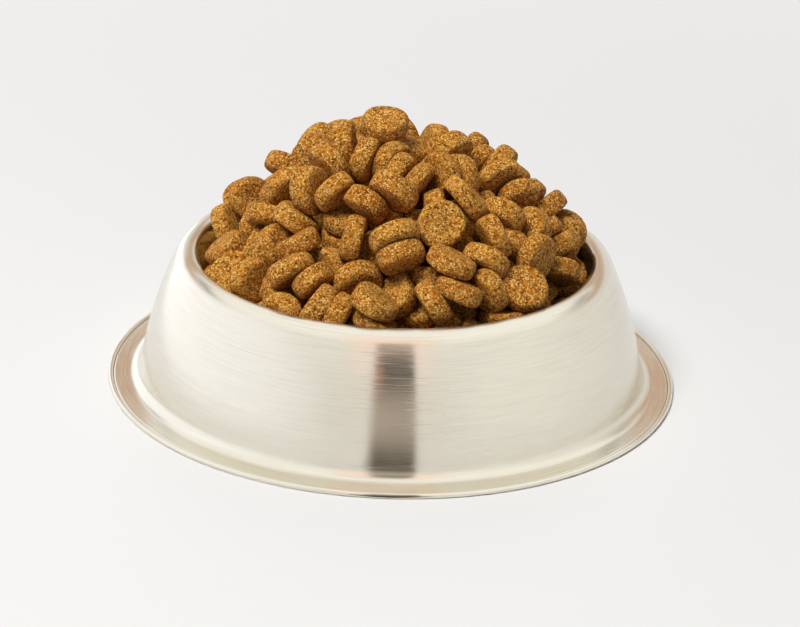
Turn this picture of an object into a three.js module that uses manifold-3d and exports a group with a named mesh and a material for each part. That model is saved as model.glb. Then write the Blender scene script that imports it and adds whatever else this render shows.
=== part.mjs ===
// A no-tip pet bowl pressed from one sheet of stainless steel, heaped with round dry kibble.
// Millimetres, +Z up. The origin is the middle of the circle that the bowl stands on.

import * as THREE from 'three';
import { mergeVertices } from 'three/addons/utils/BufferGeometryUtils.js';
import Module from 'manifold-3d';

// ---------- driving dimensions ----------

// Bowl, one sheet: food well, rolled rim, leaning skirt, flat flange and a rolled bead.
const SHEET = 0.6;
const BASE_RADIUS = 89;
const BOWL_HEIGHT = 41.8;
const BOWL_SECTORS = 64;

const WELL_FLOOR = 2.4;
const WELL_CORNER = 12;
const WELL_LEAN = 8;

const RIM_CREST = 63.2;
const RIM_INNER_ROLL = 2.2;
const RIM_OUTER_ROLL = 5.2;

const SHOULDER_LEAN = 24;
const FOOT_RADIUS = 78.7;
const FOOT_HEIGHT = 4.5;
const FOOT_LEAN = 9;
const SKIRT_BULGE = 1.3;

const FOOT_FILLET = 4;
const FLANGE_TOP = 1.05;
const BEAD_RADIUS = 0.85;
const BEAD_FLAT_DEPTH = 0.1;

// Kibble, a round baked biscuit with a full round edge.
const KIBBLE_RADIUS = 7.2;
const KIBBLE_THICKNESS = 6.0;
const KIBBLE_SPREAD = 0.07;
const KIBBLE_SECTORS = 10;
const KIBBLE_COUNT = 445;
const LOOSE_KIBBLES = 58;
const CLEARANCE = 0.4;

// A kibble's resistance to turning, as the square of a radius of gyration.
const KIBBLE_GYRATION = 0.3 * KIBBLE_RADIUS ** 2;

// Heap, a rounded mound that stands level with the rim, with one kibble on its crown.
const HEAP_BASE = 43;
const HEAP_RADIUS = 60;
const HEAP_RISE = 37;
const HEAP_FULLNESS = 2.4;
const HEAP_ROUGHNESS = 2.5;
const HEAP_SINK = 5.2;
const FLAT_LYING = 1.5;
const SETTLE_STEPS = 500;
const SETTLE_FALL = 0.015;
const CROWN_PLACE = new THREE.Vector3(-4, 0, HEAP_BASE + HEAP_RISE + 5);
const CROWN_AXIS = new THREE.Vector3(0.1, -0.25, 1);

// Bed, the mass of kibbles under the loose ones.
const BED_SAG = 8;
const BED_SECTORS = 32;

// ---------- small helpers ----------

const degrees = THREE.MathUtils.degToRad;

/** Points on an arc about (r, z). Angle 0 points outwards and 90 points up. */
function arc(r, z, radius, fromAngle, toAngle, steps) {
  return Array.from({ length: steps + 1 }, (_, step) => {
    const angle = degrees(THREE.MathUtils.lerp(fromAngle, toAngle, step / steps));
    return new THREE.Vector2(r + radius * Math.cos(angle), z + radius * Math.sin(angle));
  });
}

/** Seeded random numbers from 0 to 1, so that the heap comes out the same every time. */
function seededRandom(seed) {
  let state = seed;
  return () => {
    state = (state + 0x6d2b79f5) | 0;
    let mixed = Math.imul(state ^ (state >>> 15), 1 | state);
    mixed = (mixed + Math.imul(mixed ^ (mixed >>> 7), 61 | mixed)) ^ mixed;
    return ((mixed ^ (mixed >>> 14)) >>> 0) / 4294967296;
  };
}

// ---------- bowl ----------

const flangeStart = FOOT_RADIUS + FOOT_FILLET;
const beadCentre = new THREE.Vector2(BASE_RADIUS - BEAD_RADIUS, BEAD_RADIUS - BEAD_FLAT_DEPTH);
const wellCornerCentre = findWellCornerCentre();

/** The corner's centre, set so that the leaning wall meets the inside of the rim's roll. */
function findWellCornerCentre() {
  const lean = degrees(WELL_LEAN);
  const wallTop = new THREE.Vector2(
    RIM_CREST - RIM_INNER_ROLL * Math.cos(lean),
    BOWL_HEIGHT - RIM_INNER_ROLL + RIM_INNER_ROLL * Math.sin(lean),
  );
  const centreHeight = WELL_FLOOR + WELL_CORNER;
  const wallFoot = centreHeight - WELL_CORNER * Math.sin(lean);
  const wallFootRadius = wallTop.x - (wallTop.y - wallFoot) * Math.tan(lean);
  return new THREE.Vector2(wallFootRadius - WELL_CORNER * Math.cos(lean), centreHeight);
}

/** The skirt's outline: a shallow bulging curve from the shoulder down to the foot. */
function skirtLine(depth, steps) {
  const shoulder = degrees(SHOULDER_LEAN);
  const foot = degrees(FOOT_LEAN);
  const top = new THREE.Vector2(
    RIM_CREST + RIM_OUTER_ROLL * Math.cos(shoulder),
    BOWL_HEIGHT - RIM_OUTER_ROLL + RIM_OUTER_ROLL * Math.sin(shoulder),
  );
  const bottom = new THREE.Vector2(FOOT_RADIUS, FOOT_HEIGHT);
  return Array.from({ length: steps - 1 }, (_, index) => {
    const along = (index + 1) / steps;
    const lean = THREE.MathUtils.lerp(shoulder, foot, along);
    const bulge = SKIRT_BULGE * 4 * along * (1 - along) - depth;
    const point = top.clone().lerp(bottom, along);
    return point.add(new THREE.Vector2(Math.cos(lean), Math.sin(lean)).multiplyScalar(bulge));
  });
}

/** One face of the sheet, from the middle of the well to the bead; depth 0 is the outer face. */
function sheetFace(depth) {
  const rollTop = BOWL_HEIGHT - RIM_INNER_ROLL;
  const shoulderTop = BOWL_HEIGHT - RIM_OUTER_ROLL;
  const filletCentre = new THREE.Vector2(flangeStart, FLANGE_TOP + FOOT_FILLET);
  return [
    new THREE.Vector2(0, WELL_FLOOR - depth),
    ...arc(wellCornerCentre.x, wellCornerCentre.y, WELL_CORNER + depth, -90, -WELL_LEAN, 4),
    ...arc(RIM_CREST, rollTop, RIM_INNER_ROLL - depth, 180 - WELL_LEAN, 90, 3),
    ...arc(RIM_CREST, shoulderTop, RIM_OUTER_ROLL - depth, 90, SHOULDER_LEAN, 4).slice(1),
    ...skirtLine(depth, 5),
    ...arc(filletCentre.x, filletCentre.y, FOOT_FILLET + depth, 180 + FOOT_LEAN, 270, 6),
  ];
}

/** The bowl turned round its axis: outer face, bead with a flat under it, then hidden face. */
function bowlGeometry() {
  const flatHalf = Math.sqrt(BEAD_RADIUS ** 2 - beadCentre.y ** 2);
  const flatAngle = THREE.MathUtils.radToDeg(Math.asin(flatHalf / BEAD_RADIUS));
  const outline = [
    ...sheetFace(0),
    ...arc(beadCentre.x, beadCentre.y, BEAD_RADIUS, 150, 0, 5),
    ...arc(beadCentre.x, beadCentre.y, BEAD_RADIUS, 0, -90 + flatAngle, 3).slice(1),
    new THREE.Vector2(beadCentre.x - flatHalf, 0),
    new THREE.Vector2(beadCentre.x - BEAD_RADIUS, FLANGE_TOP - SHEET),
    ...sheetFace(SHEET).reverse(),
  ];
  return new THREE.LatheGeometry(outline.reverse(), BOWL_SECTORS).rotateX(Math.PI / 2);
}

// ---------- kibble ----------

/** A round biscuit lying flat: a flat middle on each face and an edge of the given radius. */
function kibbleGeometry(kibble, edge) {
  const rise = edge * 0.38;
  const reach = kibble.flat + Math.sqrt(edge * edge - rise * rise);
  const outline = [
    new THREE.Vector2(0, -edge),
    new THREE.Vector2(kibble.flat, -edge * 0.96),
    new THREE.Vector2(reach, -rise),
    new THREE.Vector2(reach, rise),
    new THREE.Vector2(kibble.flat, edge * 0.96),
    new THREE.Vector2(0, edge),
  ];
  return new THREE.LatheGeometry(outline, KIBBLE_SECTORS).rotateX(Math.PI / 2);
}

/** The turn that tips a flat kibble to where its axis points. */
function turnOf(kibble) {
  return new THREE.Quaternion().setFromUnitVectors(new THREE.Vector3(0, 0, 1), kibble.axis);
}

/** The radius that the well leaves free at a height, with the corner's curve. */
function wellRadius(height) {
  const drop = Math.max(wellCornerCentre.y - height, 0);
  const corner = Math.sqrt(Math.max(WELL_CORNER ** 2 - drop ** 2, 0));
  const climb = Math.max(height - wellCornerCentre.y, 0) * Math.tan(degrees(WELL_LEAN));
  return wellCornerCentre.x + corner + climb;
}

/** The kibbles before they settle: spread through the well and the heap, turned at random. */
function scatterKibbles(random) {
  const kibbles = [];
  while (kibbles.length < KIBBLE_COUNT) {
    const size = 1 + KIBBLE_SPREAD * (2 * random() - 1);
    const edge = (KIBBLE_THICKNESS / 2) * (1 + KIBBLE_SPREAD * (2 * random() - 1));
    const place = new THREE.Vector3(
      HEAP_RADIUS * (2 * random() - 1),
      HEAP_RADIUS * (2 * random() - 1),
      WELL_FLOOR + (HEAP_BASE + HEAP_RISE - WELL_FLOOR) * random(),
    );
    const axis = new THREE.Vector3(2 * random() - 1, 2 * random() - 1, 2 * random() - 1);
    axis.z *= FLAT_LYING;
    const flat = KIBBLE_RADIUS * size - edge;
    const slack = HEAP_ROUGHNESS * (2 * random() - 1);
    const kibble = { place, axis: axis.normalize(), flat, edge, slack };
    const inside = Math.hypot(place.x, place.y) < wellRadius(Math.min(place.z, HEAP_BASE));
    if (inside && aboveHeap(place) < 0) kibbles.push(kibble);
  }
  return kibbles;
}

/** The mound's slope at a distance from its middle: its height falls by a power of that. */
function heapSlope(across) {
  return (HEAP_FULLNESS * HEAP_RISE * (across / HEAP_RADIUS) ** (HEAP_FULLNESS - 1)) / HEAP_RADIUS;
}

/** How far a point stands out of the mound's surface; negative inside it. */
function aboveHeap(point) {
  const across = Math.hypot(point.x, point.y);
  const surface = HEAP_BASE + HEAP_RISE * (1 - (across / HEAP_RADIUS) ** HEAP_FULLNESS);
  return (point.z - surface) / Math.hypot(heapSlope(across), 1);
}

/** The point of a kibble's flat core that lies nearest to another point. */
function nearestOnCore(kibble, point, result) {
  result.subVectors(point, kibble.place);
  result.addScaledVector(kibble.axis, -result.dot(kibble.axis));
  const reach = result.length();
  if (reach > kibble.flat) result.multiplyScalar(kibble.flat / reach);
  return result.add(kibble.place);
}

/** The point of a kibble's flat core that lies furthest in a direction. */
function furthestOnCore(kibble, direction, result) {
  result.copy(direction).addScaledVector(kibble.axis, -direction.dot(kibble.axis));
  const length = Math.max(result.length(), 1e-6);
  return result.multiplyScalar(kibble.flat / length).add(kibble.place);
}

const spin = new THREE.Vector3();

/** How easily a kibble gives way when pushed at a point: it moves, and it turns. */
function giveAt(kibble, point, direction) {
  spin.subVectors(point, kibble.place).cross(direction);
  return 1 + spin.lengthSq() / KIBBLE_GYRATION;
}

/** Pushes a kibble at a point, which moves its middle and turns its axis. */
function pushAt(kibble, point, direction, amount) {
  spin.subVectors(point, kibble.place).cross(direction);
  spin.multiplyScalar(amount / KIBBLE_GYRATION);
  kibble.place.addScaledVector(direction, amount);
  kibble.axis.add(spin.cross(kibble.axis)).normalize();
}

const here = new THREE.Vector3();
const there = new THREE.Vector3();
const away = new THREE.Vector3();

/** The overlap of two kibbles, with the nearest points of their cores in here and there. */
function overlapOf(one, other) {
  there.copy(other.place);
  for (let pass = 0; pass < 8; pass++) {
    nearestOnCore(one, there, here);
    nearestOnCore(other, here, there);
  }
  away.subVectors(here, there);
  const distance = away.length();
  away.multiplyScalar(1 / Math.max(distance, 1e-6));
  return one.edge + other.edge - distance;
}

/** Moves two overlapping kibbles apart, each by its share. */
function pushApart(one, other) {
  if (one.place.distanceTo(other.place) > one.flat + one.edge + other.flat + other.edge) return;
  const overlap = overlapOf(one, other);
  if (overlap <= 0) return;
  const amount = overlap / (giveAt(one, here, away) + giveAt(other, there, away));
  pushAt(one, here, away, amount);
  pushAt(other, there, away, -amount);
}

/** Pushes a kibble's furthest point, in here, back by as much as it passes a limit. */
function holdBack(kibble, excess) {
  if (excess > 0) pushAt(kibble, here, away, -excess / giveAt(kibble, here, away));
}

/** How far a kibble reaches past the well's wall where the wall faces down at an angle. */
function pastWall(kibble, angle) {
  const turn = Math.atan2(kibble.place.y, kibble.place.x);
  const level = Math.cos(degrees(angle));
  away.set(level * Math.cos(turn), level * Math.sin(turn), Math.sin(degrees(angle)));
  furthestOnCore(kibble, away, here);
  const across = Math.hypot(here.x, here.y) - wellCornerCentre.x;
  const reach = across * level + (here.z - wellCornerCentre.y) * away.z;
  return reach + kibble.edge + CLEARANCE - WELL_CORNER;
}

/** How far a kibble stands proud of the heap's surface, apart from its own slack. It is pressed
 * back at its middle, so that it keeps its tilt and the heap stays rough. */
function pastHeap(kibble) {
  const across = Math.max(Math.hypot(kibble.place.x, kibble.place.y), 1e-6);
  const slope = heapSlope(across) / across;
  away.set(kibble.place.x * slope, kibble.place.y * slope, 1).normalize();
  here.copy(kibble.place);
  return kibble.onCrown ? 0 : aboveHeap(here) + HEAP_SINK - kibble.slack;
}

// The directions in which the well's wall, its corner and its floor face the kibbles.
const wallAngles = [-WELL_LEAN, -28, -48, -68, -90];

/** Keeps a kibble on the well's floor, inside its wall and under the heap's surface. */
function keepInBowl(kibble) {
  for (const angle of wallAngles) holdBack(kibble, pastWall(kibble, angle));
  holdBack(kibble, pastHeap(kibble));
}

/** Lets all the kibbles sink and push each other apart until they lie in a heap. */
function settle(kibbles) {
  for (let step = 0; step < SETTLE_STEPS; step++) {
    const fall = SETTLE_FALL * Math.max(1 - (1.25 * step) / SETTLE_STEPS, 0);
    for (const kibble of kibbles) kibble.place.z -= fall;
    for (let one = 0; one < kibbles.length; one++) {
      for (let other = one + 1; other < kibbles.length; other++) {
        pushApart(kibbles[one], kibbles[other]);
      }
    }
    kibbles.forEach(keepInBowl);
  }
}

/** Takes out the kibbles that are still squeezed into a neighbour after settling. */
function dropSqueezed(kibbles) {
  const kept = [];
  for (const kibble of kibbles) {
    const free = kept.every((other) => overlapOf(kibble, other) < CLEARANCE / 4);
    const inside = wallAngles.every((angle) => pastWall(kibble, angle) < CLEARANCE / 4);
    if (free && inside) kept.push(kibble);
  }
  return kept;
}

/** How near the outside of the heap a kibble's middle lies; higher is nearer. */
function exposure(kibble) {
  return aboveHeap(kibble.place) - Math.max(BOWL_HEIGHT - kibble.place.z, 0);
}

const kibbles = scatterKibbles(seededRandom(7));
kibbles.push({
  place: CROWN_PLACE,
  axis: CROWN_AXIS.normalize(),
  flat: KIBBLE_RADIUS - KIBBLE_THICKNESS / 2,
  edge: KIBBLE_THICKNESS / 2,
  slack: 0,
  onCrown: true,
});
settle(kibbles);
const settled = dropSqueezed(kibbles).sort((one, other) => exposure(other) - exposure(one));
const loose = settled.slice(0, LOOSE_KIBBLES);

// ---------- the kibbles under them, as one bed ----------

/** The bed before it is hollowed: the well's shape with a dome on it, turned round the axis. */
function plainBed() {
  const floor = WELL_FLOOR + CLEARANCE;
  const wallTop = HEAP_BASE - BED_SAG;
  const corner = arc(
    wellCornerCentre.x, wellCornerCentre.y, WELL_CORNER - CLEARANCE, -90, -WELL_LEAN, 4,
  );
  const dome = Array.from({ length: 8 }, (_, step) => {
    const across = 1 - step / 7;
    const rise = HEAP_RISE * (1 - across ** HEAP_FULLNESS);
    return new THREE.Vector2((HEAP_RADIUS - BED_SAG) * across, wallTop + rise);
  });
  const ledge = new THREE.Vector2(wellRadius(wallTop) - CLEARANCE, wallTop);
  const outline = [new THREE.Vector2(0, floor), ...corner, ledge, ...dome];
  return new THREE.LatheGeometry(outline, BED_SECTORS).rotateX(Math.PI / 2);
}

const wasm = await Module();
wasm.setup();

/** A manifold solid from a geometry, with the vertices that share a place merged. */
function solidFrom(geometry) {
  const bare = geometry.clone();
  bare.deleteAttribute('normal');
  bare.deleteAttribute('uv');
  const merged = mergeVertices(bare, 1e-4);
  const mesh = new wasm.Mesh({
    numProp: 3,
    vertProperties: merged.attributes.position.array,
    triVerts: Uint32Array.from(merged.index.array),
  });
  return new wasm.Manifold(mesh);
}

/** The geometry of a manifold solid. */
function geometryFrom(solid) {
  const mesh = solid.getMesh();
  const geometry = new THREE.BufferGeometry();
  geometry.setAttribute('position', new THREE.BufferAttribute(mesh.vertProperties, 3));
  geometry.setIndex(new THREE.BufferAttribute(mesh.triVerts, 1));
  geometry.computeVertexNormals();
  return geometry;
}

/** The bed with a seat hollowed in it for each loose kibble, without the crumbs cut free. */
function bedGeometry() {
  let bed = solidFrom(plainBed());
  for (const kibble of loose) {
    const seat = kibbleGeometry(kibble, kibble.edge + CLEARANCE / 2);
    seat.applyQuaternion(turnOf(kibble)).translate(...kibble.place);
    bed = bed.subtract(solidFrom(seat));
  }
  const bodies = bed.decompose().sort((one, other) => other.volume() - one.volume());
  return geometryFrom(bodies[0]);
}

// ---------- materials and assembly ----------

const steel = new THREE.MeshStandardMaterial({ color: 0xd9d6cf, roughness: 0.32, metalness: 1 });
const crumb = new THREE.MeshStandardMaterial({ color: 0xa9702f, roughness: 0.9, metalness: 0 });
const shadedCrumb = new THREE.MeshStandardMaterial({ color: 0x7d4a1c, roughness: 0.9, metalness: 0 });

const part = new THREE.Group();

function addPiece(name, geometry, material) {
  const mesh = new THREE.Mesh(geometry, material);
  mesh.name = name;
  part.add(mesh);
  return mesh;
}

addPiece('bowl', bowlGeometry(), steel);
addPiece('kibble_bed', bedGeometry(), shadedCrumb);
loose.forEach((kibble, index) => {
  const name = `kibble_${String(index + 1).padStart(2, '0')}`;
  const mesh = addPiece(name, kibbleGeometry(kibble, kibble.edge - CLEARANCE / 2), crumb);
  mesh.position.copy(kibble.place);
  mesh.quaternion.copy(turnOf(kibble));
});

export default part;
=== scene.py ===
"""A no-tip stainless steel pet bowl heaped with round dry kibble, in soft studio light.

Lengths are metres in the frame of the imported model: Z is up, and the bowl stands on z = 0 around the
Z axis. Colours are linear.
"""

import math

import bpy
import numpy as np
from mathutils import Matrix, Vector


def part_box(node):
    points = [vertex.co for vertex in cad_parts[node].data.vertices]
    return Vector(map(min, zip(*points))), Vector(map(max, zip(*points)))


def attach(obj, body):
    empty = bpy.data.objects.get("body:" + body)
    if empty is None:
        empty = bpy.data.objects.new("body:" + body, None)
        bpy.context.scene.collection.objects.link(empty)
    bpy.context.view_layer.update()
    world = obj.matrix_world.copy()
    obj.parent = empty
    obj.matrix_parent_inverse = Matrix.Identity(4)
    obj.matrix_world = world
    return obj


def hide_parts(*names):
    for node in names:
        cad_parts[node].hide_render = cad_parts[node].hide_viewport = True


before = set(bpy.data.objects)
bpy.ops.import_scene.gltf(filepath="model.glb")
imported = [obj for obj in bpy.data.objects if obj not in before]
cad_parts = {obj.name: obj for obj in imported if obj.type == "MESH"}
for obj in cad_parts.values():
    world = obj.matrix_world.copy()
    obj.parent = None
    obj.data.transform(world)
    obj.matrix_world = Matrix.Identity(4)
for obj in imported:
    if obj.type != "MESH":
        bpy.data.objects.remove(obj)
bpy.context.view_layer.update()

# ---------------------------------------------------------------- steel bowl
# The bowl is one round sheet of stainless steel. It was drawn into the food well, folded over a soft rim
# into a leaning skirt, turned out into a flat flange and curled at the edge. It was brushed while it
# turned on a lathe, so every fine scratch runs round it.

mm = 0.001
bowl_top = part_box("bowl")[1]
base_radius = bowl_top.x
bowl_height = bowl_top.z
sheet_thickness = 0.6 * mm

# Leans are in degrees off upright. The bead's start is an angle round its middle, where 90 is up.
well_floor = 2.4 * mm
well_corner = 12 * mm
well_lean = 8
rim_crest = 63.2 * mm
rim_inner_roll = 2.2 * mm
rim_outer_roll = 5.2 * mm
shoulder_lean = 24
foot_radius = 78.7 * mm
foot_height = 4.5 * mm
foot_lean = 9
skirt_bulge = 1.3 * mm
foot_fillet = 4 * mm
flange_top = 1.05 * mm
bead_radius = 0.85 * mm
bead_height = 0.75 * mm
bead_middle = base_radius - bead_radius
bead_start = 215
groove_width = 0.3 * mm
groove_depth = 0.3 * mm
groove_gap = 0.02 * mm
bowl_sectors = 288
spinning_ripple = 0.035 * mm


def arc(middle, radius, start, end, steps):
    """Points (distance from the axis, height) of a circle, between two angles in degrees; 90 is up."""
    angle = np.radians(np.linspace(start, end, steps + 1))
    return np.array(middle) + radius * np.stack([np.cos(angle), np.sin(angle)], axis=1)


def line(start, end, steps):
    """Evenly spaced points from start to end, without the end."""
    share = np.linspace(0, 1, steps, endpoint=False)[:, None]
    return (1 - share) * np.array(start) + share * np.array(end)


def well_corner_middle():
    """The corner's middle, set so that the leaning wall meets the inside of the rim's roll."""
    lean = math.radians(well_lean)
    wall_top = bowl_height - rim_inner_roll + rim_inner_roll * math.sin(lean)
    wall_top_radius = rim_crest - rim_inner_roll * math.cos(lean)
    wall_foot = well_floor + well_corner - well_corner * math.sin(lean)
    wall_foot_radius = wall_top_radius - (wall_top - wall_foot) * math.tan(lean)
    return wall_foot_radius - well_corner * math.cos(lean), well_floor + well_corner


def skirt_face(depth, steps):
    """From the rim's shoulder to the foot: a straight line plus a bulge of 4t(1 - t) along its normal."""
    lean = np.radians([shoulder_lean, foot_lean])
    top = np.array([rim_crest, bowl_height - rim_outer_roll])
    top = top + rim_outer_roll * np.array([math.cos(lean[0]), math.sin(lean[0])])
    share = np.linspace(0, 1, steps + 1)[1:-1, None]
    tilt = (1 - share) * lean[0] + share * lean[1]
    bulge = skirt_bulge * 4 * share * (1 - share) - depth
    foot = np.array([foot_radius, foot_height])
    return (1 - share) * top + share * foot + bulge * np.hstack([np.cos(tilt), np.sin(tilt)])


def sheet_face(depth, fineness):
    """One face of the sheet from the middle of the well to the foot; depth 0 is the face that shows."""
    corner = well_corner_middle()
    wall = np.array([math.cos(math.radians(well_lean)), -math.sin(math.radians(well_lean))])
    wall_foot = np.array(corner) + (well_corner + depth) * wall
    roll_middle = (rim_crest, bowl_height - rim_inner_roll)
    roll_foot = np.array(roll_middle) - (rim_inner_roll - depth) * wall
    shoulder_middle = (rim_crest, bowl_height - rim_outer_roll)
    fillet_middle = (foot_radius + foot_fillet, flange_top + foot_fillet)
    return np.vstack([
        line((0, well_floor - depth), (corner[0], well_floor - depth), 3 * fineness),
        arc(corner, well_corner + depth, -90, -well_lean, 4 * fineness)[:-1],
        line(wall_foot, roll_foot, 3 * fineness),
        arc(roll_middle, rim_inner_roll - depth, 180 - well_lean, 90, 3 * fineness),
        arc(shoulder_middle, rim_outer_roll - depth, 90, shoulder_lean, 4 * fineness)[1:],
        skirt_face(depth, 12 * fineness),
        arc(fillet_middle, foot_fillet + depth, 180 + foot_lean, 270, 3 * fineness),
    ])


def bowl_outline():
    """The sheet's whole outline from the axis under the well, round the bead, and back to the axis above.

    The bead is flat where it stands on the floor.
    """
    under = sheet_face(sheet_thickness, 2)
    over = sheet_face(0, 4)
    under_flange = (bead_middle - bead_radius, flange_top - sheet_thickness)
    lip = (bead_middle - bead_radius - groove_width / 2, flange_top)
    groove = (bead_middle - bead_radius + groove_gap, flange_top - groove_depth)
    meeting = 180 - math.degrees(math.asin((groove[1] - bead_height) / bead_radius))
    outline = np.vstack([
        under,
        line(under[-1], under_flange, 4)[1:],
        arc((bead_middle, bead_height), bead_radius, bead_start, 270, 6),
        arc((bead_middle, bead_height), bead_radius, -90, meeting, 26)[1:],
        line(groove, lip, 3),
        line(lip, over[-1], 8),
        over[::-1],
    ])
    outline[:, 1] = np.maximum(outline[:, 1], 0)
    return outline


def closed_shells(name, rings, first_ends, last_ends):
    """A mesh of closed shells, each a stack of rings closed by a point under it and a point over it.

    rings has the shape (shells, rings, sectors, 3), and the end points have the shape (shells, 3).
    """
    shells, levels, sectors = rings.shape[:3]
    walls = rings.reshape(shells, -1, 3)
    points = np.concatenate([first_ends[:, None], walls, last_ends[:, None]], axis=1)
    size = points.shape[1]
    level, sector = np.meshgrid(np.arange(levels - 1), np.arange(sectors), indexing="ij")
    below = 1 + level * sectors
    following = (sector + 1) % sectors
    quads = np.stack([sector, following, following + sectors, sector + sectors], axis=-1)
    quads = quads + below[..., None]
    around = np.arange(sectors)
    after = (around + 1) % sectors
    last_ring = 1 + (levels - 1) * sectors
    first_fan = np.stack([np.zeros_like(around), 1 + after, 1 + around], axis=-1)
    last_fan = np.stack([np.full_like(around, size - 1), last_ring + around, last_ring + after], axis=-1)
    start = size * np.arange(shells)[:, None, None]
    faces = []
    for part in (quads.reshape(-1, 4), first_fan, last_fan):
        faces += (part + start).reshape(-1, part.shape[1]).tolist()
    mesh = bpy.data.meshes.new(name)
    mesh.from_pydata(points.reshape(-1, 3).tolist(), [], faces)
    mesh.polygons.foreach_set("use_smooth", np.ones(len(mesh.polygons), bool))
    mesh.update()
    return mesh


def point_values(mesh, name, values):
    """Stores one number per point of a mesh, for its material to read."""
    mesh.attributes.new(name, "FLOAT", "POINT").data.foreach_set("value", values.astype(np.float32))


def add_piece(mesh, material):
    """An object at the origin that shows a mesh in a material."""
    piece = bpy.data.objects.new(mesh.name, mesh)
    bpy.context.scene.collection.objects.link(piece)
    mesh.materials.append(material)
    return piece


def bowl_mesh():
    """The outline carried round the axis, with a faint ripple of spinning in the skirt.

    A point is (r cos a, r sin a, z), and r grows by ripple * s * sin(3a + 1) * sin(2 pi z / height). The
    factor s is a sine that rises from 0 at the rim to 1 halfway out, and falls to 0 at the skirt's foot.
    """
    outline = bowl_outline()
    turn = np.linspace(0, 2 * np.pi, bowl_sectors, endpoint=False)
    across = outline[1:-1, :1]
    height = outline[1:-1, 1:] + 0 * turn
    skirt = np.clip((across - rim_crest) / (foot_radius - rim_crest), 0, 1)
    skirt = np.sin(np.pi * skirt)
    wave = np.sin(3 * turn + 1) * np.sin(2 * np.pi * height / bowl_height)
    radius = across + spinning_ripple * skirt * wave
    rings = np.stack([radius * np.cos(turn), radius * np.sin(turn), height], axis=-1)
    ends = np.array([[0, 0, outline[0, 1]], [0, 0, outline[-1, 1]]])
    mesh = closed_shells("bowl_steel", rings[None], ends[:1], ends[1:])
    steps = np.hypot(*np.diff(outline, axis=0).T)
    along = np.concatenate([[0], np.cumsum(steps)])
    inner = np.repeat(along[1:-1], bowl_sectors)
    point_values(mesh, "along_sheet", np.concatenate([along[:1], inner, along[-1:]]))
    return mesh


def add_node(tree, kind, inputs=None, **settings):
    """A node with its settings; each input is a value, or another node's output to link from."""
    node = tree.nodes.new(kind)
    for name, setting in settings.items():
        setattr(node, name, setting)
    for name, value in (inputs or {}).items():
        if isinstance(value, bpy.types.NodeSocket):
            tree.links.new(value, node.inputs[name])
        else:
            node.inputs[name].default_value = value
    return node


def math_node(tree, operation, first, second=0.0):
    """The output of a Math node."""
    node = add_node(tree, "ShaderNodeMath", {0: first, 1: second}, operation=operation)
    return node.outputs[0]


def map_range(tree, value, low, high, to_low, to_high):
    """The output of a Map Range node: low to high becomes to_low to to_high, and is held inside it."""
    inputs = {"Value": value, "From Min": low, "From Max": high, "To Min": to_low, "To Max": to_high}
    return add_node(tree, "ShaderNodeMapRange", inputs, clamp=True).outputs["Result"]


def mix_colour(tree, share, first, second):
    """The output colour of a Mix node: the first colour where share is 0, the second where it is 1."""
    node = add_node(tree, "ShaderNodeMix", {0: share, 6: first, 7: second}, data_type="RGBA")
    return node.outputs[2]


def new_material(name):
    """A node material, as (material, node tree, Principled shader)."""
    material = bpy.data.materials.new(name)
    material.use_nodes = True
    tree = material.node_tree
    return material, tree, tree.nodes["Principled BSDF"]


# The widths of the marks that brushing leaves, their depth, and the colour of the steel in each kind.
fine_mark = 0.26 * mm
broad_mark = 1.6 * mm
scratch_mark = 0.22 * mm
mark_depth = 0.03 * mm
steel_in_marks = (0.66, 0.63, 0.54, 1)
steel_between_marks = (0.84, 0.805, 0.70, 1)
steel_in_bands = (0.80, 0.765, 0.67, 1)
steel_in_scratches = (0.5, 0.49, 0.47, 1)


def object_place(tree):
    """Object coordinates, which are metres from the foot of the bowl's axis."""
    return add_node(tree, "ShaderNodeTexCoord").outputs["Object"]


def noise(tree, place, scale, detail, roughness=0.5):
    """The output of a Noise Texture node, about 0.5 on average."""
    inputs = {"Vector": place, "Scale": scale, "Detail": detail, "Roughness": roughness}
    return add_node(tree, "ShaderNodeTexNoise", inputs).outputs["Fac"]


def brush_marks(tree, mark_width, marks_round, detail):
    """Noise drawn out round the axis: fine across the brushing, long along it."""
    flat = {0: object_place(tree), 1: (1, 1, 0)}
    flat = add_node(tree, "ShaderNodeVectorMath", flat, operation="MULTIPLY").outputs[0]
    facing = add_node(tree, "ShaderNodeVectorMath", {0: flat}, operation="NORMALIZE").outputs[0]
    along = add_node(tree, "ShaderNodeAttribute", attribute_name="along_sheet").outputs["Fac"]
    split = add_node(tree, "ShaderNodeSeparateXYZ", {0: facing})
    marks = add_node(tree, "ShaderNodeCombineXYZ", {
        0: math_node(tree, "MULTIPLY", split.outputs[0], marks_round),
        1: math_node(tree, "MULTIPLY", split.outputs[1], marks_round),
        2: math_node(tree, "MULTIPLY", along, 1 / mark_width),
    })
    return noise(tree, marks.outputs[0], 1.0, detail)


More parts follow.
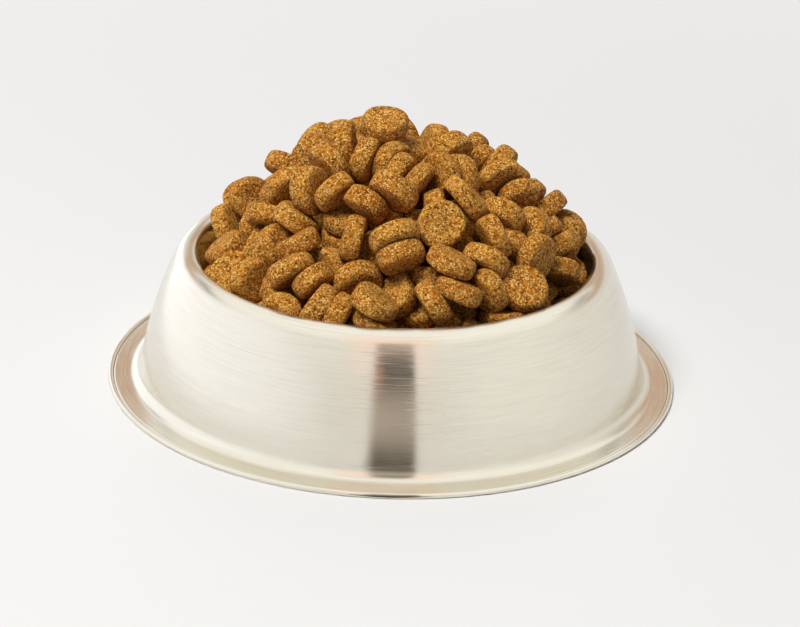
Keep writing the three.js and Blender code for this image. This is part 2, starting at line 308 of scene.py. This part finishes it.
def brushed_steel():
    """Brushed stainless: reflections are drawn out across the brush marks, which run round the bowl."""
    material, tree, shader = new_material("brushed_steel")
    fine = brush_marks(tree, fine_mark, marks_round=6, detail=4)
    broad = brush_marks(tree, broad_mark, marks_round=3, detail=2)
    bands = map_range(tree, broad, 0.35, 0.65, 0, 0.3)
    long_marks = brush_marks(tree, scratch_mark, marks_round=1.6, detail=1)
    scratches = map_range(tree, long_marks, 0.70, 0.76, 0, 1)
    handling = noise(tree, object_place(tree), scale=38.0, detail=3.0)
    shade = mix_colour(tree, fine, steel_in_marks, steel_between_marks)
    shade = mix_colour(tree, bands, shade, steel_in_bands)
    shade = mix_colour(tree, math_node(tree, "MULTIPLY", scratches, 0.4), shade, steel_in_scratches)
    tree.links.new(shade, shader.inputs["Base Color"])
    rough = map_range(tree, fine, 0.3, 0.7, 0.15, 0.24)
    rough = math_node(tree, "ADD", rough, map_range(tree, handling, 0.4, 0.7, 0, 0.05))
    tree.links.new(rough, shader.inputs["Roughness"])
    height = math_node(tree, "SUBTRACT", fine, math_node(tree, "MULTIPLY", scratches, 0.8))
    bump = add_node(tree, "ShaderNodeBump", {"Strength": 0.5, "Distance": mark_depth, "Height": height})
    tree.links.new(bump.outputs[0], shader.inputs["Normal"])
    tangent = add_node(tree, "ShaderNodeTangent", direction_type="RADIAL", axis="Z")
    tree.links.new(tangent.outputs[0], shader.inputs["Tangent"])
    shader.inputs["Metallic"].default_value = 1.0
    shader.inputs["Anisotropic"].default_value = 0.9
    shader.inputs["Anisotropic Rotation"].default_value = 0.25
    return material


bowl = add_piece(bowl_mesh(), brushed_steel())
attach(bowl, "root")
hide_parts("bowl")

# ---------------------------------------------------------------- loose biscuits
# Each biscuit was punched from soft dough and baked: a thick disc with a rounded, slightly swollen edge,
# seldom quite round or level. It is dry and crumbly, with pale grains of meal and pits. The pits are
# painted dark as shade, and the crumb's hollows darker, partly as dark meal and partly as shade. These
# ones lie on the outside of the heap, each held only by those under it.

biscuit_sectors = 12
smoothing_levels = 2
# The cage of a biscuit: shares of its radius and of half its thickness, from its underside to its top.
cage_across = np.array([0.60, 0.95, 1.05, 1.05, 0.95, 0.60])
cage_height = np.array([-1.03, -1.01, -0.57, 0.57, 1.01, 1.03])
# Smoothing draws the cage in by these shares, so it starts out larger.
smoothing_across = 0.963
smoothing_height = 0.985
# How uneven baking leaves them, first in shares of the radius or thickness and then in lengths.
oval_most = 0.06
lobes_most = 0.04
slope_most = 0.11
pressed_flat = (0.84, 1.25)
pressed_least = 0.2
face_swell = 1.02
bend_most = 0.5 * mm
crumb_across = 0.13 * mm
crumb_height = 0.11 * mm
dish_depth = (-0.25 * mm, 0.45 * mm)
# A full turn in radians, near enough for a random direction.
full_turn = 6.3
chance = np.random.default_rng(5)


def spread(count, low, high):
    """One even random number for each biscuit, shaped to multiply its rings and sectors."""
    return chance.uniform(low, high, (count, 1, 1))


def any_way(count):
    """A random direction for each biscuit, as an angle round its axis."""
    return spread(count, 0, full_turn)


def biscuit_cages(place, axis, radius, half_thickness):
    """Rings of points for many biscuits at once, with the uneven shape that baking gives each of them.

    A ring's radius changes by cos(2a) and cos(3a) round it, and is cut off straight where a neighbour
    pressed on the dough. Its height changes by a slope across the disc, a bend of the whole disc and a
    dish or a swelling in the middle of each face.
    """
    count = len(place)
    turn = np.linspace(0, 2 * np.pi, biscuit_sectors, endpoint=False)
    across = cage_across[None, :, None]
    oval = 1 + spread(count, 0, oval_most) * np.cos(2 * (turn - any_way(count)))
    lobes = 1 + spread(count, 0, lobes_most) * np.cos(3 * (turn - any_way(count)))
    outline = oval * lobes / smoothing_across
    pressed = np.maximum(np.cos(turn - any_way(count)), pressed_least)
    outline = np.minimum(outline, spread(count, *pressed_flat) / pressed)
    reach = radius[:, None, None] * across * outline
    height = half_thickness[:, None, None] * cage_height[None, :, None] / smoothing_height
    slope = spread(count, -slope_most, slope_most) * np.cos(turn - any_way(count)) * across
    bend = spread(count, -bend_most, bend_most) * across**2 * np.cos(2 * (turn - any_way(count)))
    height = height * (1 + slope) + bend
    reach = reach + chance.normal(0, crumb_across, reach.shape)
    height = height + chance.normal(0, crumb_height, height.shape)
    dish = chance.uniform(*dish_depth, (count, 2))
    height[:, 0] += 0.5 * dish[:, :1]
    height[:, -1] -= 0.5 * dish[:, 1:]
    low_end = -half_thickness / smoothing_height * face_swell + dish[:, 0]
    high_end = half_thickness / smoothing_height * face_swell - dish[:, 1]
    side = np.cross(axis, chance.normal(size=axis.shape))
    side /= np.linalg.norm(side, axis=1, keepdims=True)
    other_side = np.cross(axis, side)
    middle = place[:, None, None]
    rings = middle + (reach * np.cos(turn))[..., None] * side[:, None, None]
    rings = rings + (reach * np.sin(turn))[..., None] * other_side[:, None, None]
    rings = rings + height[..., None] * axis[:, None, None]
    return rings, place + low_end[:, None] * axis, place + high_end[:, None] * axis


def biscuit_piece(name, place, axis, radius, half_thickness, material, levels):
    """One object with some biscuits in it, each a cage that Subdivision Surface rounds off."""
    rings, low_ends, high_ends = biscuit_cages(place, axis, radius, half_thickness)
    mesh = closed_shells(name, rings, low_ends, high_ends)
    baked = chance.uniform(0, 1, len(place))
    point_values(mesh, "baked", np.repeat(baked, 2 + rings.shape[1] * biscuit_sectors))
    piece = add_piece(mesh, material)
    smoothing = piece.modifiers.new("smoothing", "SUBSURF")
    smoothing.levels = levels
    smoothing.render_levels = levels
    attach(piece, "root")
    return piece


# Colours of the crumb, from the palest grain to the painted shade at the bottom of a pit. Scales are
# grains in a metre.
pale_grain = (0.98, 0.69, 0.22, 1)
golden_meal = (0.62, 0.28, 0.040, 1)
brown_meal = (0.48, 0.18, 0.020, 1)
toasted_meal = (0.40, 0.14, 0.012, 1)
# The dark meal lies in the crumb's hollows, so it is partly dark meal and partly painted shade.
dark_meal_and_hollow_shade = (0.17, 0.042, 0.002, 1)
painted_pit_shade = (0.055, 0.012, 0.002, 1)
pale_scale = 2700.0
pit_scale = 1500.0
meal_scale = 900.0
toast_scale = 120.0
crumb_depth = 0.42 * mm


def speckle(tree, place, scale, none_under, all_over):
    """Which grains show, by a random number for each of them, and the distance to a grain's middle."""
    grains = add_node(tree, "ShaderNodeTexVoronoi", {"Vector": place, "Scale": scale, "Randomness": 1.0})
    lot = add_node(tree, "ShaderNodeSeparateColor", {0: grains.outputs["Color"]}).outputs[0]
    return map_range(tree, lot, none_under, all_over, 0, 1), grains.outputs["Distance"]


def baked_crumb():
    """Baked meal: golden to red-brown, with fine pale grains, pits painted dark as shade, hollows painted
    darker as dark meal and shade, and a rough, dry surface.
    """
    material, tree, shader = new_material("baked_crumb")
    place = object_place(tree)
    baked = add_node(tree, "ShaderNodeAttribute", attribute_name="baked").outputs["Fac"]
    meal = noise(tree, place, meal_scale, detail=4.0, roughness=0.75)
    toast = noise(tree, place, toast_scale, detail=2.0)
    pale, pale_reach = speckle(tree, place, pale_scale, none_under=0.62, all_over=0.95)
    pits, pit_reach = speckle(tree, place, pit_scale, none_under=0.74, all_over=0.9)
    pit = math_node(tree, "MULTIPLY", pits, map_range(tree, pit_reach, 0.30, 0.5, 1, 0))
    colour = mix_colour(tree, baked, golden_meal, brown_meal)
    colour = mix_colour(tree, map_range(tree, toast, 0.35, 0.7, 0, 0.65), colour, toasted_meal)
    # Darker where the meal noise dips, which is where the bump sinks: partly dark meal, partly painted
    # shade in the hollows.
    colour = mix_colour(tree, map_range(tree, meal, 0.41, 0.57, 0.85, 0.0), colour, dark_meal_and_hollow_shade)
    colour = mix_colour(tree, math_node(tree, "MULTIPLY", pale, 0.62), colour, pale_grain)
    # Painted shade at the bottom of each pit, where the bump dents the crumb.
    colour = mix_colour(tree, math_node(tree, "MULTIPLY", pit, 0.85), colour, painted_pit_shade)
    tree.links.new(colour, shader.inputs["Base Color"])
    rough = map_range(tree, pale, 0.0, 1.0, 0.85, 0.6)
    tree.links.new(rough, shader.inputs["Roughness"])
    height = math_node(tree, "SUBTRACT", meal, math_node(tree, "MULTIPLY", pale_reach, 0.35))
    height = math_node(tree, "SUBTRACT", height, math_node(tree, "MULTIPLY", pit, 0.9))
    bump = add_node(tree, "ShaderNodeBump", {"Strength": 1.0, "Distance": crumb_depth, "Height": height})
    tree.links.new(bump.outputs[0], shader.inputs["Normal"])
    shader.inputs["Specular IOR Level"].default_value = 0.15
    return material


def node_points(node):
    """The points of one node of the frame, as (points, 3)."""
    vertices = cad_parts[node].data.vertices
    points = np.zeros(3 * len(vertices), np.float32)
    vertices.foreach_get("co", points)
    return points.reshape(-1, 3).astype(float)


def disc_of(node):
    """The middle, axis, radius and half thickness of a disc-shaped node of the frame.

    The axis is the direction in which the node's points spread least.
    """
    points = node_points(node)
    middle = np.unique(points.round(7), axis=0).mean(axis=0)
    offsets = points - middle
    axis = np.linalg.svd(np.unique(offsets.round(7), axis=0), full_matrices=False)[2][2]
    level = offsets @ axis
    across = np.linalg.norm(offsets - level[:, None] * axis, axis=1)
    return middle, axis, across.max(), np.abs(level).max()


# Each loose biscuit of the frame is this much smaller than it settled, to stay clear of its seat.
seat_gap = 0.2 * mm
crumb = baked_crumb()
kibbles = [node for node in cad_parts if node.startswith("kibble_")]
loose_nodes = sorted(node for node in kibbles if node != "kibble_bed")
loose_discs = [disc_of(node) for node in loose_nodes]
loose_place = np.array([disc[0] for disc in loose_discs])
loose_axis = np.array([disc[1] for disc in loose_discs])
loose_radius = np.array([disc[2] for disc in loose_discs]) + seat_gap
loose_half = np.array([disc[3] for disc in loose_discs]) + seat_gap

for index, node in enumerate(loose_nodes):
    one = slice(index, index + 1)
    disc_size = loose_radius[one] - seat_gap / 2, loose_half[one] - seat_gap / 2
    name = node.replace("kibble", "biscuit")
    piece = biscuit_piece(name, loose_place[one], loose_axis[one], *disc_size, crumb, smoothing_levels)
    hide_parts(node)

# ---------------------------------------------------------------- biscuits under them
# The rest of the filling: the same biscuits, poured in and settled on each other between the well's wall
# and the loose ones. They lie still under their own weight, with gaps between them that stay dark.

filling_count = 430
biscuit_radius = 7.2 * mm
biscuit_half = 3.0 * mm
size_spread = 0.07
heap_base = 43 * mm
heap_radius = 60 * mm
heap_rise = 37 * mm
heap_fullness = 2.4
heap_roughness = 2.5 * mm
heap_sink = 5.2 * mm
wall_gap = 0.4 * mm
# Poured biscuits start this far from the wall, from the heap's surface and from a loose one's middle.
clear_of_wall = 2 * mm
clear_of_surface = 3 * mm
clear_of_loose = 7 * mm
# Places tried for each biscuit, the share of the corner's radius under which the well stays narrow for
# them, and how strongly they tend to lie flat.
tries = 40
corner_start = 0.4
lying_flat = 1.5
# The settling: its steps, how far a biscuit sinks in the first one, and how early the sinking ends.
settling_steps = 360
settling_fall = 0.02 * mm
early_end = 1.3
steps_between_searches = 8
neighbour_reach = 2.25 * biscuit_radius
turning_ease = 0.3 * biscuit_radius**2
push_share = 0.5
contact_rounds = 5
# The directions, down from level, in which the well's wall, corner and floor hold a biscuit back.
wall_angles = np.radians([-well_lean, -28, -48, -68, -90])
# The least length that is divided by.
nearly_nothing = 1e-9


def heap_slope(across):
    """How steeply the heap falls at a distance from its middle."""
    return heap_fullness * heap_rise / heap_radius * (across / heap_radius) ** (heap_fullness - 1)


def above_heap(points):
    """How far points stand out of the heap: its top is base + rise * (1 - (across / radius)^fullness)."""
    across = np.hypot(points[:, 0], points[:, 1])
    surface = heap_base + heap_rise * (1 - (across / heap_radius) ** heap_fullness)
    return (points[:, 2] - surface) / np.hypot(heap_slope(across), 1)


def pour(count):
    """Random places and axes for biscuits inside the well and the heap, clear of the loose ones."""
    corner_radius = well_corner_middle()[0]
    place = chance.uniform(-1, 1, (tries * count, 3)) * heap_radius
    place[:, 2] = chance.uniform(well_floor + biscuit_half, heap_base + heap_rise, len(place))
    across = np.hypot(place[:, 0], place[:, 1])
    wall = corner_radius + well_corner * np.clip(place[:, 2] / well_corner - corner_start, 0, 1) ** 0.5
    from_loose = np.linalg.norm(place[:, None] - loose_place[None], axis=2).min(axis=1)
    inside = (across < wall - clear_of_wall) & (above_heap(place) < -clear_of_surface)
    place = place[inside & (from_loose > clear_of_loose)][:count]
    axis = chance.uniform(-1, 1, place.shape) * (1, 1, lying_flat)
    return place, axis / np.linalg.norm(axis, axis=1, keepdims=True)


def dot(first, second):
    """The dot product of each pair of rows, kept as a column."""
    return (first * second).sum(axis=1, keepdims=True)


def nearest_on_disc(point, place, axis, flat):
    """The point of a flat disc nearest to another: dropped onto its plane, then drawn into its circle."""
    offset = point - place
    offset = offset - dot(offset, axis) * axis
    reach = np.maximum(np.linalg.norm(offset, axis=1, keepdims=True), nearly_nothing)
    return place + offset * np.minimum(1, flat[:, None] / reach)


def contact(place, axis, flat, edge, one, other):
    """Where two biscuits meet: nearest points of their flat discs, the direction apart and the overlap."""
    there = place[other]
    for _ in range(contact_rounds):
        here = nearest_on_disc(there, place[one], axis[one], flat[one])
        there = nearest_on_disc(here, place[other], axis[other], flat[other])
    apart = here - there
    distance = np.maximum(np.linalg.norm(apart, axis=1, keepdims=True), nearly_nothing)
    overlap = (edge[one] + edge[other])[:, None] - distance
    return here, there, apart / distance, np.maximum(overlap, 0)


def push(shift, twist, place, which, point, direction, amount):
    """Adds to the shift and twist of biscuits what a push at a point gives them."""
    arm = np.cross(point - place[which], direction)
    np.add.at(shift, which, direction * amount)
    np.add.at(twist, which, arm * amount / turning_ease)


def give(place, which, point, direction):
    """How easily a biscuit gives way to a push at a point: it moves, and it turns."""
    arm = np.cross(point - place[which], direction)
    return 1 + dot(arm, arm) / turning_ease


def furthest_on_disc(place, axis, flat, direction):
    """The point of a flat disc that lies furthest in a direction."""
    level = direction - dot(direction, axis) * axis
    length = np.maximum(np.linalg.norm(level, axis=1, keepdims=True), nearly_nothing)
    return place + level / length * flat[:, None]


def hold_in_bowl(place, axis, flat, edge, slack, shift, twist):
    """Pushes back what passes the well's wall, its corner, its floor or the heap's surface."""
    everyone = np.arange(len(place))
    corner_radius, corner_height = well_corner_middle()
    across = np.maximum(np.hypot(place[:, :1], place[:, 1:2]), nearly_nothing)
    outwards = np.hstack([place[:, :2] / across, np.zeros_like(across)])
    upwards = np.array([0, 0, 1])
    for angle in wall_angles:
        facing = math.cos(angle) * outwards + math.sin(angle) * upwards
        point = furthest_on_disc(place, axis, flat, facing)
        reach = (np.hypot(point[:, 0], point[:, 1]) - corner_radius) * math.cos(angle)
        reach += (point[:, 2] - corner_height) * math.sin(angle)
        excess = np.maximum(reach + edge + wall_gap - well_corner, 0)[:, None]
        push(shift, twist, place, everyone, point, facing, -excess / give(place, everyone, point, facing))
    facing = heap_slope(across) * outwards + upwards
    facing /= np.linalg.norm(facing, axis=1, keepdims=True)
    shift -= facing * np.maximum(above_heap(place) + heap_sink - slack, 0)[:, None]


def settled_filling():
    """Lets the poured biscuits sink and push each other apart until they rest around the loose ones.

    All contacts push at once, so each biscuit takes only a share of the sum of its pushes at every step.
    """
    place, axis = pour(filling_count)
    count = len(place)
    radius = biscuit_radius * (1 + chance.uniform(-size_spread, size_spread, count))
    half = biscuit_half * (1 + chance.uniform(-size_spread, size_spread, count))
    slack = chance.uniform(-heap_roughness, heap_roughness, count)
    place = np.vstack([place, loose_place])
    axis = np.vstack([axis, loose_axis])
    radius = np.concatenate([radius, loose_radius])
    edge = np.concatenate([half, loose_half])
    flat = radius - edge
    free = np.arange(len(place)) < count
    for step in range(settling_steps):
        if step % steps_between_searches == 0:
            gaps = np.linalg.norm(place[:, None] - place[None], axis=2)
            near = np.triu(gaps < neighbour_reach, 1) & (free[:, None] | free[None])
            one, other = np.nonzero(near)
        shift = np.zeros_like(place)
        twist = np.zeros_like(place)
        here, there, apart, overlap = contact(place, axis, flat, edge, one, other)
        give_one = give(place, one, here, apart) * free[one, None]
        give_other = give(place, other, there, apart) * free[other, None]
        amount = overlap / (give_one + give_other)
        push(shift, twist, place, one, here, apart, amount)
        push(shift, twist, place, other, there, apart, -amount)
        place[free] += push_share * shift[free]
        axis[free] += push_share * np.cross(twist, axis)[free]
        axis /= np.linalg.norm(axis, axis=1, keepdims=True)
        place[free, 2] -= settling_fall * max(1 - early_end * step / settling_steps, 0)
        shift = np.zeros((count, 3))
        twist = np.zeros((count, 3))
        poured = place[:count], axis[:count], flat[:count], edge[:count]
        hold_in_bowl(*poured, slack, shift, twist)
        place[:count] += push_share * shift
        axis[:count] += push_share * np.cross(twist, axis[:count])
    axis /= np.linalg.norm(axis, axis=1, keepdims=True)
    return place[:count], axis[:count], radius[:count], edge[:count]


# Deeper than this they are out of sight, and stay plain cages, a little smaller to keep off the steel.
shell_depth = 11 * mm
buried_share = 0.92
group_size = 17

filling = settled_filling()
depth_below = -above_heap(filling[0]) + np.maximum(bowl_height - filling[0][:, 2], 0)
order = np.argsort(depth_below)
showing = int((depth_below < shell_depth).sum())


def in_groups(members):
    """Splits biscuits into groups of neighbours: sorted by the angle round the bowl and cut evenly."""
    angle = np.arctan2(filling[0][members, 1], filling[0][members, 0])
    return np.array_split(members[np.argsort(angle)], max(len(members) // group_size, 1))


groups = [(members, smoothing_levels, 1.0) for members in in_groups(order[:showing])]
groups += [(members, 0, buried_share) for members in in_groups(order[showing:])]
for index, (members, levels, share) in enumerate(groups):
    place, axis, radius, half = (values[members] for values in filling)
    name = f"biscuits_below_{index + 1:02d}"
    piece = biscuit_piece(name, place, axis, radius * share, half * share, crumb, levels)
    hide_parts("kibble_bed")

# ---------------------------------------------------------------- studio
# A plain pale floor that passes into the wall with no edge in sight, a large soft light high on the left
# and a weaker one far behind. Boards beside the bowl, a dark card in front, a warm canopy over it and the
# room's walls show only in the steel.

floor_size = 9.0
floor_colour = (0.700, 0.697, 0.700, 1)
wall_colour = (0.93, 0.913, 0.903, 1)
paper_near = 0.11
paper_far = 0.8


def stage_sheet(name, width, height, matrix, material):
    """A flat rectangle of the studio, turned and placed by a matrix."""
    corners = np.array([[-1, -1, 0], [1, -1, 0], [1, 1, 0], [-1, 1, 0]]) * [width / 2, height / 2, 0]
    mesh = bpy.data.meshes.new(name)
    mesh.from_pydata(corners.tolist(), [], [(0, 1, 2, 3)])
    mesh.transform(matrix)
    sheet = add_piece(mesh, material)
    return sheet


def only_mirrored(sheet):
    """Hides a sheet from the camera, matt surfaces and the lights, so that only reflections show it."""
    sheet.visible_camera = False
    sheet.visible_diffuse = False
    sheet.visible_transmission = False
    sheet.visible_shadow = False


def length_of(tree, vector):
    """The length of a vector, as a number."""
    return add_node(tree, "ShaderNodeVectorMath", {0: vector}, operation="LENGTH").outputs["Value"]


def floor_paper():
    """Matt pale paper, which passes into the colour of the wall with distance from the bowl's axis."""
    material, tree, shader = new_material("floor_paper")
    shader.inputs["Base Color"].default_value = floor_colour
    shader.inputs["Roughness"].default_value = 0.9
    shader.inputs["Specular IOR Level"].default_value = 0.0
    far = map_range(tree, length_of(tree, object_place(tree)), paper_near, paper_far, 0, 1)
    wall = add_node(tree, "ShaderNodeEmission", {"Color": wall_colour, "Strength": 1.0})
    mixed = add_node(tree, "ShaderNodeMixShader", {0: far, 1: shader.outputs[0], 2: wall.outputs[0]})
    tree.links.new(mixed.outputs[0], tree.nodes["Material Output"].inputs["Surface"])
    return material


def glowing_sheet(name, colour, cover):
    """A material that gives off a colour where cover is 1 and is clear where it is 0.

    The cover, and a colour that changes over the sheet, are functions that work them out in the material.
    """
    material, tree, shader = new_material(name)
    shown = colour(tree) if callable(colour) else colour
    glow = add_node(tree, "ShaderNodeEmission", {"Color": shown, "Strength": 1.0})
    clear = add_node(tree, "ShaderNodeBsdfTransparent")
    shaders = {0: cover(tree), 1: clear.outputs[0], 2: glow.outputs[0]}
    mixed = add_node(tree, "ShaderNodeMixShader", shaders)
    tree.links.new(mixed.outputs[0], tree.nodes["Material Output"].inputs["Surface"])
    tree.nodes.remove(shader)
    return material


def place_parts(tree):
    """The x, y and z of Object coordinates."""
    return add_node(tree, "ShaderNodeSeparateXYZ", {0: object_place(tree)}).outputs


def distance_from(tree, value, middle):
    """How far a value is from a middle, either way."""
    return math_node(tree, "ABSOLUTE", math_node(tree, "SUBTRACT", value, middle))


def band(tree, value, middle, full, gone):
    """1 where a value is nearer to a middle than full, fading to 0 where it is as far off as gone."""
    return map_range(tree, distance_from(tree, value, middle), full, gone, 1, 0)


stage_sheet("floor", floor_size, floor_size, Matrix.Identity(4), floor_paper())

card_width = 27.5 * mm
card_height = 61 * mm
card_distance = 109 * mm
card_aside = 1.2 * mm
card_corner = 6 * mm
card_light = (1.0, 0.86, 0.74, 1)
card_patch = (0.50, 0.22, 0.14, 1)
patch_height = 43 * mm
black = (0, 0, 0, 1)


def card_colour(tree):
    """Its glow is a painted reflection in the steel: brown-grey, lighter in the middle of its height, with
    a red patch high on its left.
    """
    across, _, height = place_parts(tree)
    low = map_range(tree, height, 4 * mm, 16 * mm, 0.03, 0.55)
    high = map_range(tree, height, 28 * mm, 42 * mm, 1.0, 0.10)
    grey = mix_colour(tree, math_node(tree, "MULTIPLY", low, high), black, card_light)
    left = map_range(tree, across, -6 * mm, -3 * mm, 1, 0)
    patch = math_node(tree, "MULTIPLY", left, band(tree, height, patch_height, 3 * mm, 7 * mm))
    return mix_colour(tree, patch, grey, card_patch)


def first_mirror(tree):
    """1 for what is seen by one reflection in the steel, 0 for what is seen by more than one."""
    depth = add_node(tree, "ShaderNodeLightPath").outputs["Glossy Depth"]
    return math_node(tree, "LESS_THAN", depth, 1.5)


def card_cover(tree):
    """A card with rounded corners and a soft left edge, for the first reflection only.

    The card is all that lies within its corner's radius of a box that is smaller by that radius.
    """
    across, _, height = place_parts(tree)
    beside = distance_from(tree, across, card_aside)
    above = distance_from(tree, height, card_height / 2)
    past_side = math_node(tree, "SUBTRACT", beside, card_width / 2 - card_corner)
    past_top = math_node(tree, "SUBTRACT", above, card_height / 2 - card_corner)
    past = add_node(tree, "ShaderNodeCombineXYZ", {
        0: math_node(tree, "MAXIMUM", past_side, 0.0),
        1: math_node(tree, "MAXIMUM", past_top, 0.0),
    })
    inside = map_range(tree, length_of(tree, past.outputs[0]), card_corner, card_corner * 0.9, 0, 1)
    from_middle = math_node(tree, "SUBTRACT", across, card_aside)
    soft_left = map_range(tree, from_middle, -card_width / 2, -card_width / 3.2, 0, 1)
    shape = math_node(tree, "MULTIPLY", inside, soft_left)
    return math_node(tree, "MULTIPLY", shape, first_mirror(tree))


upright = Matrix.Rotation(math.pi / 2, 4, "X")
card_place = Matrix.Translation((card_aside, -card_distance, card_height / 2))
card_material = glowing_sheet("dark_card", card_colour, card_cover)
only_mirrored(stage_sheet("dark_card", card_width, card_height, card_place @ upright, card_material))


# The card's foot lies on the floor from the card to the flange. It is a painted dark reflection: only the
# first reflection in the steel shows it, where the steel mirrors the floor there.
foot_colour = (0.03, 0.025, 0.02, 1)
foot_length = card_distance - base_radius
foot_width = 0.9 * card_width
foot_place = Matrix.Translation((card_aside, -base_radius - foot_length / 2, 0.5 * mm))
foot_material = glowing_sheet("card_foot", foot_colour, first_mirror)
only_mirrored(stage_sheet("card_foot", foot_width, foot_length, foot_place, foot_material))

board_length = 1.0
board_height = 0.10
board_distance = 0.16
cold_white = (1.42, 1.44, 1.54, 1)
warm_white = (1.0, 0.98, 0.95, 1)


def side_board(name, side, colour, grows, fades):
    """A lit board beside the bowl, whose light grows along y over one range and fades over another."""

    def board_cover(tree):
        along = place_parts(tree)[1]
        growing = map_range(tree, along, *grows, 0, 1)
        fading = map_range(tree, along, *fades, 1, 0)
        return math_node(tree, "MULTIPLY", growing, fading)

    middle = Matrix.Translation((side * board_distance, 0, board_height / 2))
    place = middle @ Matrix.Rotation(math.pi / 2, 4, "Z") @ upright
    material = glowing_sheet(name, colour, board_cover)
    only_mirrored(stage_sheet(name, board_length, board_height, place, material))


side_board("left_board", -1, cold_white, grows=(-0.36, 0.14), fades=(0.42, 0.48))
side_board("right_board", 1, warm_white, grows=(-0.42, -0.20), fades=(-0.10, 0.08))

canopy_size = 0.62
canopy_place = Vector((0, -0.52, 0.55))
canopy_colour = (1.24, 0.98, 0.86, 1)
canopy_full_width = 0.18
canopy_back = (-0.40, -0.31)


def canopy_cover(tree):
    """Fades out to both sides and to the back, so that no corner shows in the steel."""
    across, along, _ = place_parts(tree)
    side = band(tree, across, 0.0, canopy_full_width, canopy_size / 2)
    back = map_range(tree, along, *canopy_back, 1, 0)
    return math_node(tree, "MULTIPLY", side, back)


canopy_turn = canopy_place.to_track_quat("Z", "Y").to_matrix().to_4x4()
canopy_matrix = Matrix.Translation(canopy_place) @ canopy_turn
canopy_material = glowing_sheet("canopy", canopy_colour, canopy_cover)
only_mirrored(stage_sheet("canopy", canopy_size, canopy_size, canopy_matrix, canopy_material))

white_low = (0.84, 0.825, 0.80, 1)
white_high = (1.17, 1.15, 1.12, 1)
warm_wall = (0.64, 0.44, 0.315, 1)
dark_gap = (0.05, 0.06, 0.07, 1)
ambient = (0.20, 0.20, 0.20, 1)
warm_wall_height = 0.39
dark_gap_height = 0.54


def studio_walls():
    """The room as the steel mirrors it: soft white, a warm wall low at the back and a dark gap above it.

    Heights are those of a direction: 0 is level and 1 straight up. Matt surfaces get an even ambient
    light instead, and the camera sees the plain wall.
    """
    world = bpy.data.worlds.new("studio_walls")
    bpy.context.scene.world = world
    world.use_nodes = True
    tree = world.node_tree
    way = add_node(tree, "ShaderNodeTexCoord").outputs["Generated"]
    across, back, height = add_node(tree, "ShaderNodeSeparateXYZ", {0: way}).outputs
    behind = map_range(tree, back, 0.1, 0.5, 0, 1)
    warm = math_node(tree, "MULTIPLY", behind, band(tree, height, warm_wall_height, 0.06, 0.09))
    aside = map_range(tree, math_node(tree, "ABSOLUTE", across), 0.30, 0.45, 0, 1)
    gap = band(tree, height, dark_gap_height, 0.03, 0.07)
    gap = math_node(tree, "MULTIPLY", gap, math_node(tree, "MULTIPLY", aside, behind))
    high = map_range(tree, height, 0.25, 0.65, 0, 1)
    colour = mix_colour(tree, high, white_low, white_high)
    colour = mix_colour(tree, warm, colour, warm_wall)
    colour = mix_colour(tree, math_node(tree, "MULTIPLY", gap, 0.6), colour, dark_gap)
    ray = add_node(tree, "ShaderNodeLightPath")
    colour = mix_colour(tree, ray.outputs["Is Diffuse Ray"], colour, ambient)
    colour = mix_colour(tree, ray.outputs["Is Camera Ray"], colour, wall_colour)
    background = tree.nodes["Background"]
    tree.links.new(colour, background.inputs["Color"])
    background.inputs["Strength"].default_value = 1.0


studio_walls()


def soft_light(name, place, target, size, power, colour):
    """A square soft light that faces a target. The steel mirrors the sheets and walls, but not this."""
    light = bpy.data.lights.new(name, "AREA")
    light.size = size
    light.energy = power
    light.color = colour
    holder = bpy.data.objects.new(name, light)
    bpy.context.scene.collection.objects.link(holder)
    holder.location = place
    holder.rotation_euler = (Vector(target) - Vector(place)).to_track_quat("-Z", "Y").to_euler()
    holder.visible_glossy = False


light_size = 1.0
key_colour = (1.0, 0.985, 0.96)
back_colour = (1.0, 1.0, 1.0)
soft_light("key_light", (-0.8, -0.7, 2.0), (0, 0, 0.04), light_size, 58, key_colour)
soft_light("back_light", (0.2, 2.0, 1.5), (0, 1.0, 0), light_size, 8, back_colour)

# ---------------------------------------------------------------- camera
# The camera stands in front of the bowl and looks down on it, with a slight roll.

camera_distance = 0.800
camera_rise = math.radians(24.106)
camera_tilt = math.radians(22.782)
camera_pan = math.radians(0.174)
camera_roll = math.radians(2.033)
camera_lens = 113.61
camera_sensor = 36
camera = bpy.data.cameras.new("camera")
camera.lens = camera_lens
camera.sensor_width = camera_sensor
camera.clip_start = 0.01
camera_holder = bpy.data.objects.new("camera", camera)
bpy.context.scene.collection.objects.link(camera_holder)
stand_point = camera_distance * Vector((0, -math.cos(camera_rise), math.sin(camera_rise)))
camera_holder.matrix_world = (
    Matrix.Translation(stand_point)
    @ Matrix.Rotation(-camera_pan, 4, "Z")
    @ Matrix.Rotation(math.pi / 2 - camera_tilt, 4, "X")
    @ Matrix.Rotation(camera_roll, 4, "Z")
)
bpy.context.scene.camera = camera_holder
bpy.context.scene.view_settings.view_transform = "Standard"
